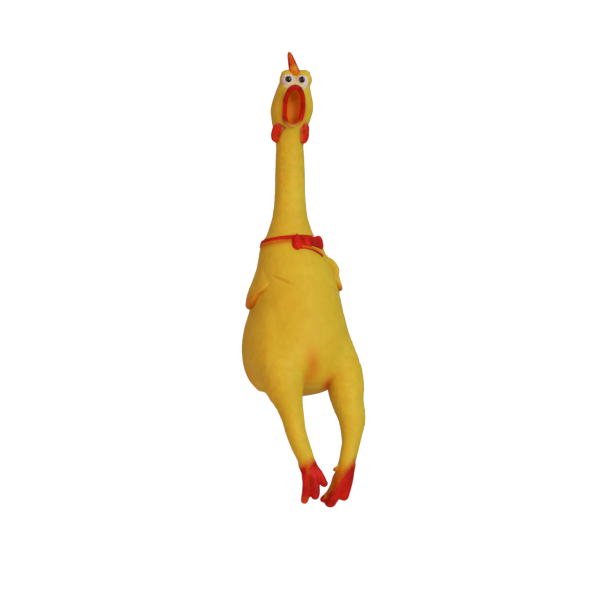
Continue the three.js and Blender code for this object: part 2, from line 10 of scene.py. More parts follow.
import bmesh
import bpy
import numpy as np
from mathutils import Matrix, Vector


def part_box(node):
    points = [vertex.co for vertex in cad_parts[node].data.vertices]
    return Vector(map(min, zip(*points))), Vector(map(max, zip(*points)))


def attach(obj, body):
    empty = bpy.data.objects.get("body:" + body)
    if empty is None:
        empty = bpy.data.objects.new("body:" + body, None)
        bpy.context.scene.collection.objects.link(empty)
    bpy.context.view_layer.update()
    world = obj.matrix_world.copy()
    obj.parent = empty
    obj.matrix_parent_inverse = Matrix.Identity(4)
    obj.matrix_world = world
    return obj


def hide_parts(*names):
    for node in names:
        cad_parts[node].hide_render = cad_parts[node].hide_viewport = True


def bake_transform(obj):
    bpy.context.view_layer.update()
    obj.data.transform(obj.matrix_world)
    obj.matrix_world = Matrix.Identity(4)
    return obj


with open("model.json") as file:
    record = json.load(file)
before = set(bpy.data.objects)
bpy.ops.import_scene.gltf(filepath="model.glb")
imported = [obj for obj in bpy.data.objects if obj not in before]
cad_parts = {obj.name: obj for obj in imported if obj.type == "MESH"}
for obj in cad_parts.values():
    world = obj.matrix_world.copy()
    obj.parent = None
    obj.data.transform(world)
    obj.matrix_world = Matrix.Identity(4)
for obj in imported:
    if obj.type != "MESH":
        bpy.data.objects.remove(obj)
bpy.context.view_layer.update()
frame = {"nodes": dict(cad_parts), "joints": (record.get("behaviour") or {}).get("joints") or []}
joints = {j["name"]: j for j in frame["joints"]}


def pivot(name):
    return np.array(joints[name]["pos_m"]) * 1000


nod_axis = joints["head_nod"]["axis"]
TURN = math.atan2(nod_axis[1], nod_axis[0])  # the head's twist against the body
# level directions across the face and straight out of it
RIGHT = np.array([math.cos(TURN), math.sin(TURN), 0])
TOWARD = np.array([math.sin(TURN), -math.cos(TURN), 0])
KNEE = {"left": pivot("left_leg_swing"), "right": pivot("right_leg_swing")}
ANKLE = {"left": pivot("left_foot_bend"), "right": pivot("right_foot_bend")}
COMB_BASE = pivot("comb_bend")
SIDES = {"left": 1, "right": -1}


def to_head(p):
    """Row-frame points in the head's own frame, where the face looks along -Y."""
    x, y, z = p.T
    c, s = math.cos(TURN), math.sin(TURN)
    return np.stack([c * x + s * y, -s * x + c * y, z], 1)


def from_head(p):
    x, y, z = np.atleast_2d(p).astype(float).T
    c, s = math.cos(TURN), math.sin(TURN)
    return np.stack([c * x - s * y, s * x + c * y, z], 1)


# ---------------------------------------------------------------- distance functions


def smooth_min(a, b, k):
    h = np.clip(k - np.abs(a - b), 0, None) / k
    return np.minimum(a, b) - h * h * k / 4


def smooth_max(a, b, k):
    return -smooth_min(-a, -b, k)


def smoothstep(low, high, x):
    t = np.clip((x - low) / (high - low), 0, 1)
    return t * t * (3 - 2 * t)


def ellipsoid(p, centre, radii):
    q = p - np.array(centre, float)
    r = np.array(radii, float)
    k0 = np.linalg.norm(q / r, axis=1)
    k1 = np.linalg.norm(q / (r * r), axis=1)
    return k0 * (k0 - 1) / np.maximum(k1, 1e-6)


def oval(u, v, a, b):
    """Distance in a plane to an ellipse of half sizes a and b, which may differ between points."""
    k0 = np.sqrt((u / a) ** 2 + (v / b) ** 2)
    k1 = np.sqrt((u / a**2) ** 2 + (v / b**2) ** 2)
    return k0 * (k0 - 1) / np.maximum(k1, 1e-6)


def hermite(table, x):
    """Smooth values between a table's rows: the first column is the key."""
    t = np.array(table, float)
    keys, values = t[:, 0], t[:, 1:]
    slope = np.gradient(values, keys, axis=0)
    i = np.clip(np.searchsorted(keys, x) - 1, 0, len(keys) - 2)
    h = keys[i + 1] - keys[i]
    s = np.clip((x - keys[i]) / h, 0, 1)[:, None]
    h = h[:, None]
    a, b = values[i], values[i + 1]
    ma, mb = slope[i] * h, slope[i + 1] * h
    return (
        (2 * s**3 - 3 * s**2 + 1) * a
        + (s**3 - 2 * s**2 + s) * ma
        + (3 * s**2 - 2 * s**3) * b
        + (s**3 - s**2) * mb
    )


def spline(rows, count):
    """Points and radii along a smooth line through rows of x, y, z, radius."""
    rows = np.array(rows, float)
    keys = np.arange(len(rows))
    return hermite(np.column_stack([keys, rows]), np.linspace(0, len(rows) - 1, count))


def limb(p, line):
    """Distance to a round limb whose radius changes along its line of points and radii."""
    line = np.asarray(line, float)
    best = np.full(len(p), 1e9)
    for a, b in zip(line[:-1], line[1:]):
        ab = b[:3] - a[:3]
        t = np.clip((p - a[:3]) @ ab / (ab @ ab), 0, 1)
        d = np.linalg.norm(p - a[:3] - t[:, None] * ab, axis=1) - (a[3] + t * (b[3] - a[3]))
        best = np.minimum(best, d)
    return best


def pimples(p, size, radius):
    """Rounded bumps, one in each cell of a jittered grid: 1 on a bump's top and 0 between."""
    q = p / size
    first = np.floor(q - 0.5)
    out = np.zeros(len(p))
    for corner in range(8):
        c = first + (corner & 1, corner >> 1 & 1, corner >> 2 & 1)
        n = c @ np.array([127.1, 311.7, 74.7])
        jitter = np.stack([np.sin(n), np.sin(n * 1.7 + 2), np.sin(n * 2.3 + 4)], 1) * 4375.85
        spot = c + 0.2 + 0.6 * (jitter - np.floor(jitter))
        d2 = ((q - spot) ** 2).sum(1)
        out = np.maximum(out, np.exp(-d2 / radius**2))
    return out


# ---------------------------------------------------------------- the chicken's shape

# z, the section's x and y, its half width and half depth
TRUNK = [
    [-182, 0, -5, 3, 3],
    [-181, 0, -5, 11, 12],
    [-179, 0, -5.5, 21, 24],
    [-175.5, 0, -6.8, 30, 33.5],
    [-169.5, 0, -8.8, 37.4, 40.5],
    [-161, 0, -10.8, 43, 45.5],
    [-150, 0, -11.5, 46, 48.6],
    [-137, 0, -12, 46.8, 49.3],
    [-122, 0, -12, 44.8, 47.6],
    [-106, 0.7, -11.5, 40.6, 43.5],
    [-90, 0.7, -10.5, 37.5, 39.5],
    [-72, 0, -8.5, 33.4, 34],
    [-60, 0, -6, 30.3, 30],
    [-52, 0, -3.8, 28, 27.6],
    [-46, 0, -2, 25.4, 25],
    [-40, 0, -0.6, 21, 21],
    [-33, 0, 0, 18.2, 18.2],
    [-25, 0, 0, 15.8, 15.8],
    [-16, 0, 0, 14.4, 14.4],
    [-4, 0, 0, 13.4, 13.4],
    [14, 0, 0, 13, 13],
    [26, 0, 0, 12.6, 12.6],
    [40, 0, 0, 12.2, 12.2],
]
# the same, in the head's frame
HEAD = [
    [28, 0, 0, 12.6, 12.6],
    [38, -0.2, 0, 12.1, 12.5],
    [46, -0.2, -0.8, 12.9, 14],
    [55, 0.2, -2, 15.4, 17],
    [63, 1, -2.8, 17.5, 18.6],
    [70, 1.6, -3, 18.7, 19],
    [77, 2.2, -2.4, 18, 18.4],
    [84, 2.7, -1, 16.2, 17],
    [91, 3.3, 1.4, 14.2, 13.6],
    [97.5, 4.3, 3, 12, 10.6],
    [103, 4.8, 3.4, 8.6, 8.4],
    [106, 5, 3.4, 3, 4],
]
# each leg's middle line from the hip to the ankle: x, y, z and radius
LEG = {
    "right": [
        [-20, -25, -136, 19],
        [-25.4, -38, -154, 21],
        [-28, -47.5, -170, 17.4],
        [-27.0, -54.5, -184, 12.6],
        [-25.7, -61.5, -199, 9.9],
        [-25, -66, -211, 8.9],
        [-22.3, -69.8, -223, 8.3],
        [-19.4, -72.3, -232, 7.5],
        [-17.8, -73.5, -238, 7],
    ],
    "left": [
        [30.5, -25, -138, 10.5],
        [33.4, -39.5, -154, 14.4],
        [31.6, -47, -170, 16.2],
        [29.9, -54.5, -184, 14.2],
        [30.8, -61.5, -199, 12],
        [29, -65.5, -210, 9.9],
        [26.2, -69.5, -221, 8],
        [23.2, -72, -229, 7.6],
        [20.6, -73.5, -237, 7.2],
    ],
}
TAIL = [[0, 30, -150, 15], [-2, 40, -161, 12.5], [-4, 50, -171, 7]]
# the crease that runs down the breast from the right wing's front edge
CREASE = [[-28.4, -27.9, -76.8, 0.4], [-21.6, -38.6, -81.2, 0.9], [-15, -46.0, -86, 0.35]]
LEG_LINE = {name: spline(rows, 3 * len(rows) - 2) for name, rows in LEG.items()}
TAIL_LINE = spline(TAIL, 9)
CREASE_LINE = spline(CREASE, 7)
# the stretches of a leg's line that shape the thigh, the body's lower edge and the leg's own skin
THIGH, SHIN_TOP, LOWER_LEG = slice(0, 13), slice(11, 17), slice(6, None)
GOOSE_HEIGHT, NECK_HEIGHT = 0.26, 0.24  # how far the bumps on the body and the neck stand out


def loft(p, table):
    x, y, w, d = hermite(table, p[:, 2]).T
    low, high = table[0][0], table[-1][0]
    flat = oval(p[:, 0] - x, p[:, 1] - y, w, d)
    past = np.maximum(low - p[:, 2], p[:, 2] - high)
    return np.where(past > 0, np.hypot(np.maximum(flat, 0), past), flat)


def trunk(p):
    return loft(p, TRUNK)


def thighs(p):
    return np.minimum(*(limb(p, line[THIGH]) for line in LEG_LINE.values()))


def goose_bumps(p):
    """The moulded bumps below the collar."""
    z = p[:, 2]
    bumps = GOOSE_HEIGHT * pimples(p, 5.2, 0.34)
    return bumps * smoothstep(-44, -62, z) * smoothstep(-234, -214, z)


def neck_bumps(p):
    """The finer bumps on the neck, before they fade at its ends."""
    return NECK_HEIGHT * pimples(p * np.array([1, 1, 1.15]), 3.4, 0.36)


def torso(p):
    z = p[:, 2]
    d = smooth_min(trunk(p), limb(p, TAIL_LINE), 9)
    outer = smoothstep(-8, -22, p @ RIGHT)
    merge = 3.5 + 10.5 * smoothstep(-168, -142, z) + 9 * outer * smoothstep(-186, -168, z)
    d = smooth_min(d, thighs(p), merge)
    for line in LEG_LINE.values():
        d = np.minimum(d, limb(p, line[SHIN_TOP]))
    d = smooth_max(d, -limb(p, CREASE_LINE), 2.4)
    return d - goose_bumps(p)


def neck(p):
    z = p[:, 2]
    return trunk(p) - neck_bumps(p) * smoothstep(-44, -34, z) * smoothstep(52, 40, z)


# the open beak, in the head's frame
MOUTH_X, MOUTH_Z = 3.4, 72.2
MOUTH_TILT = 0.076
CORNER, UPPER_TIP, LOWER_TIP = -17.6, 11.5, 8.5
LIP_WIDE, LIP_HIGH = 7.9, 16.9
MOUTH_BACK = -12.6


def lip_y(up):
    return CORNER - np.where(up > 0, UPPER_TIP, LOWER_TIP) * up * up


def lip_line(count=44):
    a = np.linspace(0, 2 * math.pi, count, endpoint=False)
    up = np.sin(a)
    x = MOUTH_X + LIP_WIDE * np.cos(a) * (1 + 0.25 * up**2) + MOUTH_TILT * LIP_HIGH * up
    radius = 1.6 + 1.0 * np.clip(up, 0, 1) ** 3 - 0.55 * np.clip(-up, 0, 1) ** 3
    return np.stack([x, lip_y(up), MOUTH_Z + LIP_HIGH * up, radius], 1)


LIP = lip_line()


def lip_distance(q):
    best = np.full(len(q), 1e9)
    for a, b in zip(LIP, np.roll(LIP, -1, axis=0)):
        ab = b[:3] - a[:3]
        t = np.clip((q - a[:3]) @ ab / (ab @ ab), 0, 1)
        d = np.linalg.norm(q - a[:3] - t[:, None] * ab, axis=1) - (a[3] + t * (b[3] - a[3]))
        best = np.minimum(best, d)
    return best


def mouth_oval(q, wide, high):
    up = np.clip((q[:, 2] - MOUTH_Z) / high, -1, 1)
    across = q[:, 0] - MOUTH_X - MOUTH_TILT * (q[:, 2] - MOUTH_Z)
    return oval(across, q[:, 2] - MOUTH_Z, wide * (1 + 0.25 * up**2), high)


def cavity(q):
    """The space in the mouth: it flares in front of the lip and ends in a dish with a throat."""
    up = np.clip((q[:, 2] - MOUTH_Z) / LIP_HIGH, -1, 1)
    ahead = lip_y(up) - q[:, 1]
    wide = 6.6 + 0.55 * np.clip(ahead, 0, 30) + 0.05 * np.clip(ahead, -25, 0)
    high = 14.9 + 0.75 * np.clip(ahead, 0, 30) + 0.14 * np.clip(ahead, -25, 0)
    floor = MOUTH_BACK + 1.5 * np.cos(up) - 5.5 * np.clip(up, 0, 1) ** 2
    dish = smooth_max(mouth_oval(q, wide, high), q[:, 1] - floor, 7)
    throat = ellipsoid(q, (MOUTH_X - 0.6, MOUTH_BACK - 1.2, MOUTH_Z + 5.5), (1.8, 2.6, 2.8))
    return smooth_min(dish, throat, 2)


# the eyeball under the skin, the painted white's middle and half sizes, and the pupil's place
EYES = {
    "right": {
        "ball": (-2.3, -3.0, 96.6),
        "radii": (7.0, 7.8, 8.2),
        "white": (-1.3, 95.7, 5.7, 6.2),
        "pupil": (-1.6, 96.9),
    },
    "left": {
        "ball": (12.1, -3.0, 96.7),
        "radii": (7.3, 7.8, 8.0),
        "white": (10.6, 94.6, 5.2, 6.5),
        "pupil": (10.9, 96.6),
    },
}
LID_THICK = 0.9
LID_EDGE = 4.9  # how far the lid's edge is above the eyeball's middle
WHITE_PROUD = 0.35  # how far the painted white stands off the eyeball


def head(p):
    q = to_head(p)
    d = loft(q, HEAD)
    for eye in EYES.values():
        x, y, z = eye["ball"]
        d = smooth_min(d, ellipsoid(q, eye["ball"], eye["radii"]), 2.0)
        edge = z + LID_EDGE + 0.035 * (q[:, 0] - x) ** 2 + 0.1 * (q[:, 1] - y)
        swollen = ellipsoid(q, eye["ball"], np.array(eye["radii"]) + LID_THICK)
        lid = smooth_max(swollen, edge - q[:, 2], 1.4)
        d = smooth_min(d, lid, 1.2)
    beak = smooth_max(mouth_oval(q, LIP_WIDE + 0.3, LIP_HIGH + 0.3), np.abs(q[:, 1] + 15) - 13, 2)
    d = smooth_min(d, beak, 4)
    d = smooth_max(d, -cavity(q), 1.4)
    d = smooth_min(d, lip_distance(q), 0.9)
    column = loft(p, TRUNK)
    d = np.where(p[:, 2] < 28, column, d)
    return d - neck_bumps(p) * smoothstep(58, 40, p[:, 2])


COMB_LEAN = math.radians(-15.5)
# each lobe's middle along the blade and up it, and its half width and half height
COMB_LOBES = (
    (-8.4, 3.0, 3.9, 8.8),
    (-2.2, 5.5, 4.4, 14.1),
    (5.6, 4.0, 5.2, 10.8),
    (0.6, -0.4, 10.8, 4.2),
)


def comb_frame(p):
    """Across the blade, along it and up it."""
    q = to_head(p) - to_head(COMB_BASE[None])
    c, s = math.cos(COMB_LEAN), math.sin(COMB_LEAN)
    return np.stack([c * q[:, 0] - s * q[:, 2], q[:, 1], s * q[:, 0] + c * q[:, 2]], 1)


def comb(p):
    q = comb_frame(p)
    outline = np.full(len(p), 1e9)
    for y, z, wide, high in COMB_LOBES:
        outline = smooth_min(outline, oval(q[:, 1] - y, q[:, 2] - z, wide, high), 1.6)
    thick = np.interp(q[:, 2], [-3, 1, 8, 14, 19], [4.6, 4.5, 3.6, 2.6, 1.5])
    d = smooth_max(outline, np.abs(q[:, 0]) - thick, 4.2)
    return d - 0.12 * pimples(q, 2.6, 0.4)


# each wattle's middle line from the jaw down, in the head's frame: x, y, z and radius
WATTLES = {
    "right": [
        [-8.6, -14.0, 56.6, 3.2],
        [-10.8, -11.8, 52, 4.9],
        [-12.7, -9.2, 46.8, 4.1],
        [-12.2, -8.6, 43.9, 2.7],
    ],
    "left": [
        [12.6, -11.6, 57.0, 3.0],
        [12.6, -10.0, 52, 4.3],
        [12.2, -8.6, 46.6, 4.4],
        [12.2, -7.8, 43.4, 2.9],
    ],
}
# the corner of each wattle that reaches in under the beak
WATTLE_CORNER = {
    "right": [[-10.2, -13.6, 53.4, 3.8], [-5.9, -17.4, 53.9, 2.0]],
    "left": [[12.4, -12.0, 53.8, 3.6], [10.4, -14.2, 52.8, 1.9]],
}


def wattle(name):
    line = spline(WATTLES[name], 13)

    def shape(p):
        q = to_head(p)
        d = smooth_min(limb(q, line), limb(q, WATTLE_CORNER[name]), 3)
        return d - 0.1 * pimples(q, 2.8, 0.4)

    return shape


def box_centre(node):
    low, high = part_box(node)
    return np.array((low + high) / 2) * 1000


COLLAR_Z = box_centre("collar_band")[2] + 1.0
COLLAR_RISE = 0.18
COLLAR_Y = -1.5  # the middle of the trunk at the collar
COLLAR_HALF = 3.0


def above_collar(p):
    """How far a point is above the collar's middle line, which is highest at the front."""
    return p[:, 2] - COLLAR_Z + COLLAR_RISE * (p[:, 1] - COLLAR_Y)


def collar(p):
    v = above_collar(p)
    face = trunk(p) - 1.1 - 0.08 * v
    band = smooth_max(face, np.abs(v) - COLLAR_HALF, 0.9)
    return smooth_max(band, -trunk(p) - 1.5, 0.5)


BOW_TURN = math.radians(7)
BOW_RADIUS = 27.5
BOW_DROP = 3.4
# along the bow: its middle line, half height and how far it stands off the skin
BOW = [
    [-17, -1.4, 3.4, 2.0],
    [-12.4, -1.4, 6.2, 4.0],
    [-9.5, -1.1, 7.8, 5.0],
    [-6.8, -0.5, 6.4, 4.2],
    [-4.8, 0, 4.4, 2.6],
    [-3.2, -0.3, 4.5, 3.8],
    [0, -0.4, 4.7, 4.7],
    [3.4, -0.5, 4.5, 3.8],
    [5.4, -0.8, 4.1, 2.8],
    [9, -1.1, 4.9, 4.6],
    [14, -0.9, 6.2, 5.8],
    [20, -0.7, 6.8, 6.0],
]
BOW_ENDS = (-14.0, 18.4)
# the folds: along the bow, up, off the skin, and radius
BOW_GROOVES = [
    [[-4.7, -6, 2.6, 1.3], [-4.4, 0, 3.4, 1.1], [-4.7, 6, 2.6, 1.3]],
    [[4.8, -6, 3.0, 1.3], [4.5, 0, 3.8, 1.1], [4.8, 6, 3.0, 1.3]],
    [[-5.4, 1.0, 4.2, 1.3], [-8.8, 2.2, 5.8, 1.1], [-13, 2.4, 5.2, 0.4]],
    [[-5.4, -1.6, 4.2, 1.0], [-9, -3.8, 5.4, 1.0], [-12.4, -5.4, 4.4, 0.4]],
    [[5.6, 0.3, 4.4, 1.3], [10, 0.9, 5.8, 1.2], [16.5, 1.6, 6.6, 0.5]],
    [[5.6, -1.9, 4.2, 1.0], [10, -3.6, 5.4, 1.0], [15.5, -4.8, 6.2, 0.4]],
]
# the ribbon's end hangs from under the bow: along, up, and its half width
RIBBON_U = (-8, -3, 3, 8, 11.8)
RIBBON_V = (-5.8, -5.8, -7.2, -9.8, -13.2)
RIBBON_HALF = 2.1


def bow_frame(p):
    """Points by how far they are along the chest's skin, above the bow's middle and off the skin."""
    around = np.arctan2(p[:, 0], -(p[:, 1] - COLLAR_Y)) - BOW_TURN
    return np.stack([BOW_RADIUS * around, above_collar(p) + BOW_DROP, trunk(p)], 1)


def bow_lean(u):
    """How much further the bow's face stands off the skin with each millimetre up."""
    return 0.55 * smoothstep(3, 12, u) + 0.2 * smoothstep(-4, -9, u)


def bow(p):
    q = bow_frame(p)
    u, v, off = q.T
    middle, half, thick = hermite(BOW, np.clip(u, BOW[0][0], BOW[-1][0])).T
    outline = smooth_max(np.abs(v - middle) - half, np.maximum(BOW_ENDS[0] - u, u - BOW_ENDS[1]), 3)
    face = off - bow_lean(u) * v
    d = smooth_max(outline, face - thick, 3.0)
    for groove in BOW_GROOVES:
        d = smooth_max(d, -limb(np.stack([u, v, face], 1), groove), 0.9)
    strip = np.abs(v - np.interp(u, RIBBON_U, RIBBON_V)) - RIBBON_HALF
    strip = smooth_max(strip, np.maximum(RIBBON_U[0] - u, u - RIBBON_U[-1]), 1.6)
    d = smooth_min(d, smooth_max(strip, off - 1.3 + 0.12 * (v + 6), 1.0), 0.8)
    return smooth_max(d, -off - 1.5, 0.5)


# the ovals that make up each wing: degrees round from the front, height, half width in degrees
# and half height
WING_BODY = {
    "right": [(86, -60, 17, 11), (87, -76, 27, 16.4), (105, -90, 24, 15.2)],
    "left": [(74, -67.5, 12.5, 8.8), (73.5, -79.8, 14, 9.2), (96, -70, 22, 15)],
}
WING_SCALLOPS = {
    "right": [(128, -94, 9, 9.5), (134, -85, 9, 9.5), (137, -75, 8.5, 9.5), (134, -66, 8.5, 8.5)],
    "left": [(92, -86, 9, 9.5), (106, -83, 9.5, 9.5), (118, -77, 9, 9.5), (123, -68, 8.5, 8.5)],
}
# how far the wing stands off the skin at each height, from the tip up
WING_LIFT = {
    "right": [
        [-107, 3.0],
        [-102, 4.4],
        [-95, 4.8],
        [-88, 3.9],
        [-80, 2.0],
        [-72, 0.7],
        [-64, 0.1],
        [-56, -0.8],
        [-46, -1.3],
    ],
    "left": [
        [-96, 4.0],
        [-88, 4.8],
        [-81, 4.8],
        [-75, 5.2],
        [-71, 6.8],
        [-67, 7.0],
        [-61, 4.8],
        [-55, 1.6],
        [-46, -1],
    ],
}
SIDE_RADIUS = 37.0
SIDE_Y = -9  # the middle of the trunk at the wings
PER_DEGREE = SIDE_RADIUS * math.pi / 180


def wing_parts(p, name):
    """Distances to the wing's outline and to each of its scallops, and degrees from the front."""
    angle = np.degrees(np.arctan2(SIDES[name] * p[:, 0], -(p[:, 1] - SIDE_Y)))

    def distance(a, z, wide, high):
        return oval((angle - a) * PER_DEGREE, p[:, 2] - z, wide * PER_DEGREE, high)

    body = np.full(len(p), 1e9)
    for part in WING_BODY[name]:
        body = smooth_min(body, distance(*part), 5)
    return body, [distance(*part) for part in WING_SCALLOPS[name]], angle


def wing(name):
    side = SIDES[name]

    def shape(p):
        off = trunk(p)
        lift = hermite(WING_LIFT[name], p[:, 2])[:, 0]
        body, scallops, angle = wing_parts(p, name)
        if name == "right":
            upper = smoothstep(-92, -70, p[:, 2])
            lift = lift - 3.2 * smoothstep(-14, 0, body) * upper * smoothstep(104, 84, angle)
        outline = body
        for scallop in scallops:
            outline = smooth_min(outline, scallop, 0.6)
            lift = lift - 0.8 * np.exp(-((scallop / 0.8) ** 2))
            lift = lift + 0.35 * smoothstep(0.5, -3, scallop)
        d = smooth_max(outline, off - lift, 3.4)
        d = smooth_max(d, -off - 1.4, 0.6)
        return smooth_max(d, 8 - side * p[:, 0], 1)

    return shape


# toes from the ankle: how far along RIGHT, along TOWARD and up, and the radius
TOES = {
    "right": [
        [[0.8, 0, -3, 5.8], [1.9, 1, -12, 4.7], [1.3, 2.5, -23, 4.3], [-0.9, 3.5, -31.8, 3.3]],
        [[2.8, 0.5, -4, 6], [6.6, 2.5, -13, 4.8], [8.4, 3.5, -23.5, 4.2], [8.3, 4, -28, 3.6]],
        [[4.5, 0, -2.5, 5], [11, 0.5, -9.5, 4.2], [16.2, 1, -17.6, 3.2]],
        [[0.8, -4, -4, 4.6], [0.4, -11, -12, 3.8], [0.4, -15, -20, 2.6]],
    ],
    "left": [
        [
            [-2, 0, -5, 5],
            [-6.3, 1, -13.5, 4],
            [-10, 1.5, -20.5, 3.8],
            [-14.2, 2.5, -27, 3.3],
            [-19.6, 3, -31.7, 2.8],
        ],
        [[-0.5, 0.5, -5, 6.2], [-5.5, 2.5, -20, 5.4], [-13.4, 3.5, -33.5, 5.4]],
        [[2, -0.5, -5, 6], [1.1, 0, -17, 5], [-1.6, -0.5, -28.8, 4.4]],
        [[0, -4, -4, 5], [-0.5, -11, -13, 4], [-1, -14, -20, 2.6]],
    ],
}
# the web between the toes: its middle, measured the same way, and its half sizes
WEB = {"right": ((5.4, 1.5, -16), (6.6, 3.0, 13)), "left": ((-5, 1, -19), (7.5, 3.2, 13))}
# a small spur on the inside of the left ankle
SPUR = [[-3, 2, -3.5, 3.2], [-8.4, 2.5, -5.4, 2.0], [-9.6, 2.6, -6.0, 1.6]]


def from_ankle(name, p):
    q = p - ANKLE[name]
    return np.stack([q @ RIGHT, q @ TOWARD, q[:, 2]], 1)


def leg(name):
    toes = [spline(toe, 3 * len(toe) - 2) for toe in TOES[name]]

    def shape(p):
        d = limb(p, LEG_LINE[name][LOWER_LEG])
        q = from_ankle(name, p)
        foot = ellipsoid(q, *WEB[name])
        for toe in toes:
            foot = smooth_min(foot, limb(q, toe), 1.6)
        d = smooth_min(d, foot, 4)
        if name == "left":
            d = smooth_min(d, limb(q, SPUR), 1.0)
        scales = pimples(p * np.array([1, 1, 1.3]), 3.0, 0.42) * smoothstep(-236, -242, p[:, 2])
        return d - goose_bumps(p) - 0.10 * scales

    return shape


# ---------------------------------------------------------------- meshing

# the corners of a cell, by the bits of their numbers, and the edges between them
CORNERS = [(a & 1, a >> 1 & 1, a >> 2 & 1) for a in range(8)]
EDGES = [(a, b) for a in range(8) for b in range(8) if a < b and bin(a ^ b).count("1") == 1]
COARSE = 4  # fine steps in one step of the coarse grid


def evaluate(shape, points, chunk=200000):
    return np.concatenate([shape(points[i : i + chunk]) for i in range(0, len(points), chunk)])


def enlarge(grid, times, dims):
    """A coarse grid's values, each repeated over its own block of fine points."""
    for axis in range(3):
        grid = np.repeat(grid, times, axis)
    return grid[: dims[0], : dims[1], : dims[2]]


def grid_values(shape, low, dims, step):
    """The distance on a grid, worked out finely only near the surface."""
    coarse = COARSE
    cd = [n // coarse + 2 for n in dims]
    axes = [low[i] + step * coarse * np.arange(cd[i]) for i in range(3)]
    points = np.stack(np.meshgrid(*axes, indexing="ij"), -1).reshape(-1, 3)
    far = evaluate(shape, points).reshape(cd)
    spread = enlarge(far, coarse, dims).copy()
    size = np.abs(far)
    near = size[:-1, :-1, :-1].copy()
    for shift in np.ndindex(2, 2, 2):
        block = tuple(slice(s, s + n - 1) for s, n in zip(shift, cd))
        near = np.minimum(near, size[block])
    close = near < 1.6 * step * coarse
    index = np.argwhere(enlarge(close, coarse, dims))
    spread[tuple(index.T)] = evaluate(shape, np.array(low) + step * index)
    return spread


def surface_net(shape, low, high, step, whole=(0, 1, 2)):
    """Points and quads of the surface; it has to lie inside the grid along the whole axes."""
    low, high = np.array(low, float), np.array(high, float)
    dims = [COARSE * (int((high[i] - low[i]) / step) // COARSE + 1) for i in range(3)]
    f = grid_values(shape, low, dims, step)
    inside = f < 0
    for axis in whole:
        if inside.take(0, axis).any() or inside.take(-1, axis).any():
            raise ValueError(f"the grid from {low} to {high} is too small along axis {axis}")
    total = np.zeros([n - 1 for n in dims], np.int8)
    for x, y, z in CORNERS:
        total += inside[x : x + dims[0] - 1, y : y + dims[1] - 1, z : z + dims[2] - 1]
    cells = np.argwhere((total > 0) & (total < 8))
    number = np.full([n - 1 for n in dims], -1, np.int64)
    number[tuple(cells.T)] = np.arange(len(cells))
    values = np.stack([f[tuple((cells + c).T)] for c in CORNERS])
    where, count = np.zeros((len(cells), 3)), np.zeros(len(cells))
    for a, b in EDGES:
        crosses = (values[a] < 0) != (values[b] < 0)
        gap = np.where(crosses, values[a] - values[b], 1)
        t = np.where(crosses, values[a] / gap, 0)[:, None]
        ca, cb = np.array(CORNERS[a]), np.array(CORNERS[b])
        where += np.where(crosses[:, None], ca + t * (cb - ca), 0)
        count += crosses
    points = low + step * (cells + where / count[:, None])
    quads = []
    for axis in range(3):
        one = np.eye(3, dtype=int)[axis]
        u, v = np.eye(3, dtype=int)[(axis + 1) % 3], np.eye(3, dtype=int)[(axis + 2) % 3]
        first = inside[: dims[0] - one[0], : dims[1] - one[1], : dims[2] - one[2]]
        second = inside[one[0] :, one[1] :, one[2] :]
        for flip, hit in ((False, first & ~second), (True, ~first & second)):
            e = np.argwhere(hit)
            e = e[((e - u - v) >= 0).all(1) & (e < np.array(dims) - 1).all(1)]
            ring = [number[tuple((e + o).T)] for o in (-u - v, -v, 0 * u, -u)]
            quads.append(np.stack(ring[::-1] if flip else ring, 1))
    faces = np.concatenate(quads)
    return settle(shape, points, step), faces[(faces >= 0).all(1)]


TETRAHEDRON = np.array([[1, -1, -1], [-1, -1, 1], [-1, 1, -1], [1, 1, 1]], float)


def gradient(shape, p, h=0.1):
    return sum(k * evaluate(shape, p + h * k)[:, None] for k in TETRAHEDRON) / (4 * h)


def settle(shape, points, step):
    """Moves points on to the surface."""
    for _ in range(2):
        g = gradient(shape, points)
        size = np.maximum((g * g).sum(1), 0.05)
        move = evaluate(shape, points) / size
        points = points - np.clip(move, -step / 2, step / 2)[:, None] * g
    return points


def normals_of(shape, points):
    g = gradient(shape, points)
    return g / np.maximum(np.linalg.norm(g, axis=1), 1e-6)[:, None]


def cut(points, faces, planes):
    """Keeps what lies above each plane, a height and +1, or below it, a height and -1."""
    mesh = bpy.data.meshes.new("cut")
    mesh.from_pydata(points.tolist(), [], faces.tolist())
    bm = bmesh.new()
    bm.from_mesh(mesh)
    for height, keep in planes:
        geometry = bm.verts[:] + bm.edges[:] + bm.faces[:]
        bmesh.ops.bisect_plane(
            bm,
            geom=geometry,
            dist=1e-4,
            plane_co=(0, 0, height),
            plane_no=(0, 0, -keep),
            clear_outer=True,
        )
    bm.verts.index_update()
    out = np.array([v.co for v in bm.verts]).reshape(-1, 3)
    polygons = [[v.index for v in f.verts] for f in bm.faces]
    bm.free()
    bpy.data.meshes.remove(mesh)
    return out, polygons


def select(points, polygons, chosen):
    """The polygons chosen, with the points that they use."""
    kept = [f for f, c in zip(polygons, chosen) if c]
    used = np.unique(np.concatenate([np.array(f) for f in kept]))
    renumber = np.full(len(points), -1)
    renumber[used] = np.arange(len(used))
    return points[used], [[int(renumber[i]) for i in f] for f in kept]


def thicken(points, polygons, normals, wall):
    """Closes an open skin with an inner wall and a rim round each opening."""
    n = len(points)
    edges = {}
    for f in polygons:
        for a, b in zip(f, f[1:] + f[:1]):
            edges[(a, b)] = True
    rim = [(a, b) for a, b in edges if (b, a) not in edges]
    inner = [[i + n for i in reversed(f)] for f in polygons]
    sides = [[b, a, a + n, b + n] for a, b in rim]
    both = np.concatenate([points, points - wall * normals])
    return both, polygons + inner + sides, np.concatenate([normals, -normals])


# ---------------------------------------------------------------- paint and painted shade

# where the red starts on each foot: the two ends of a line across the ankle, along RIGHT and up,
# and how soft it is
RED_LINE = {"right": ((-4.7, -4.2), (7.5, 1.5), 2.2), "left": ((-18, -30), (8.5, 3.5), 5.0)}


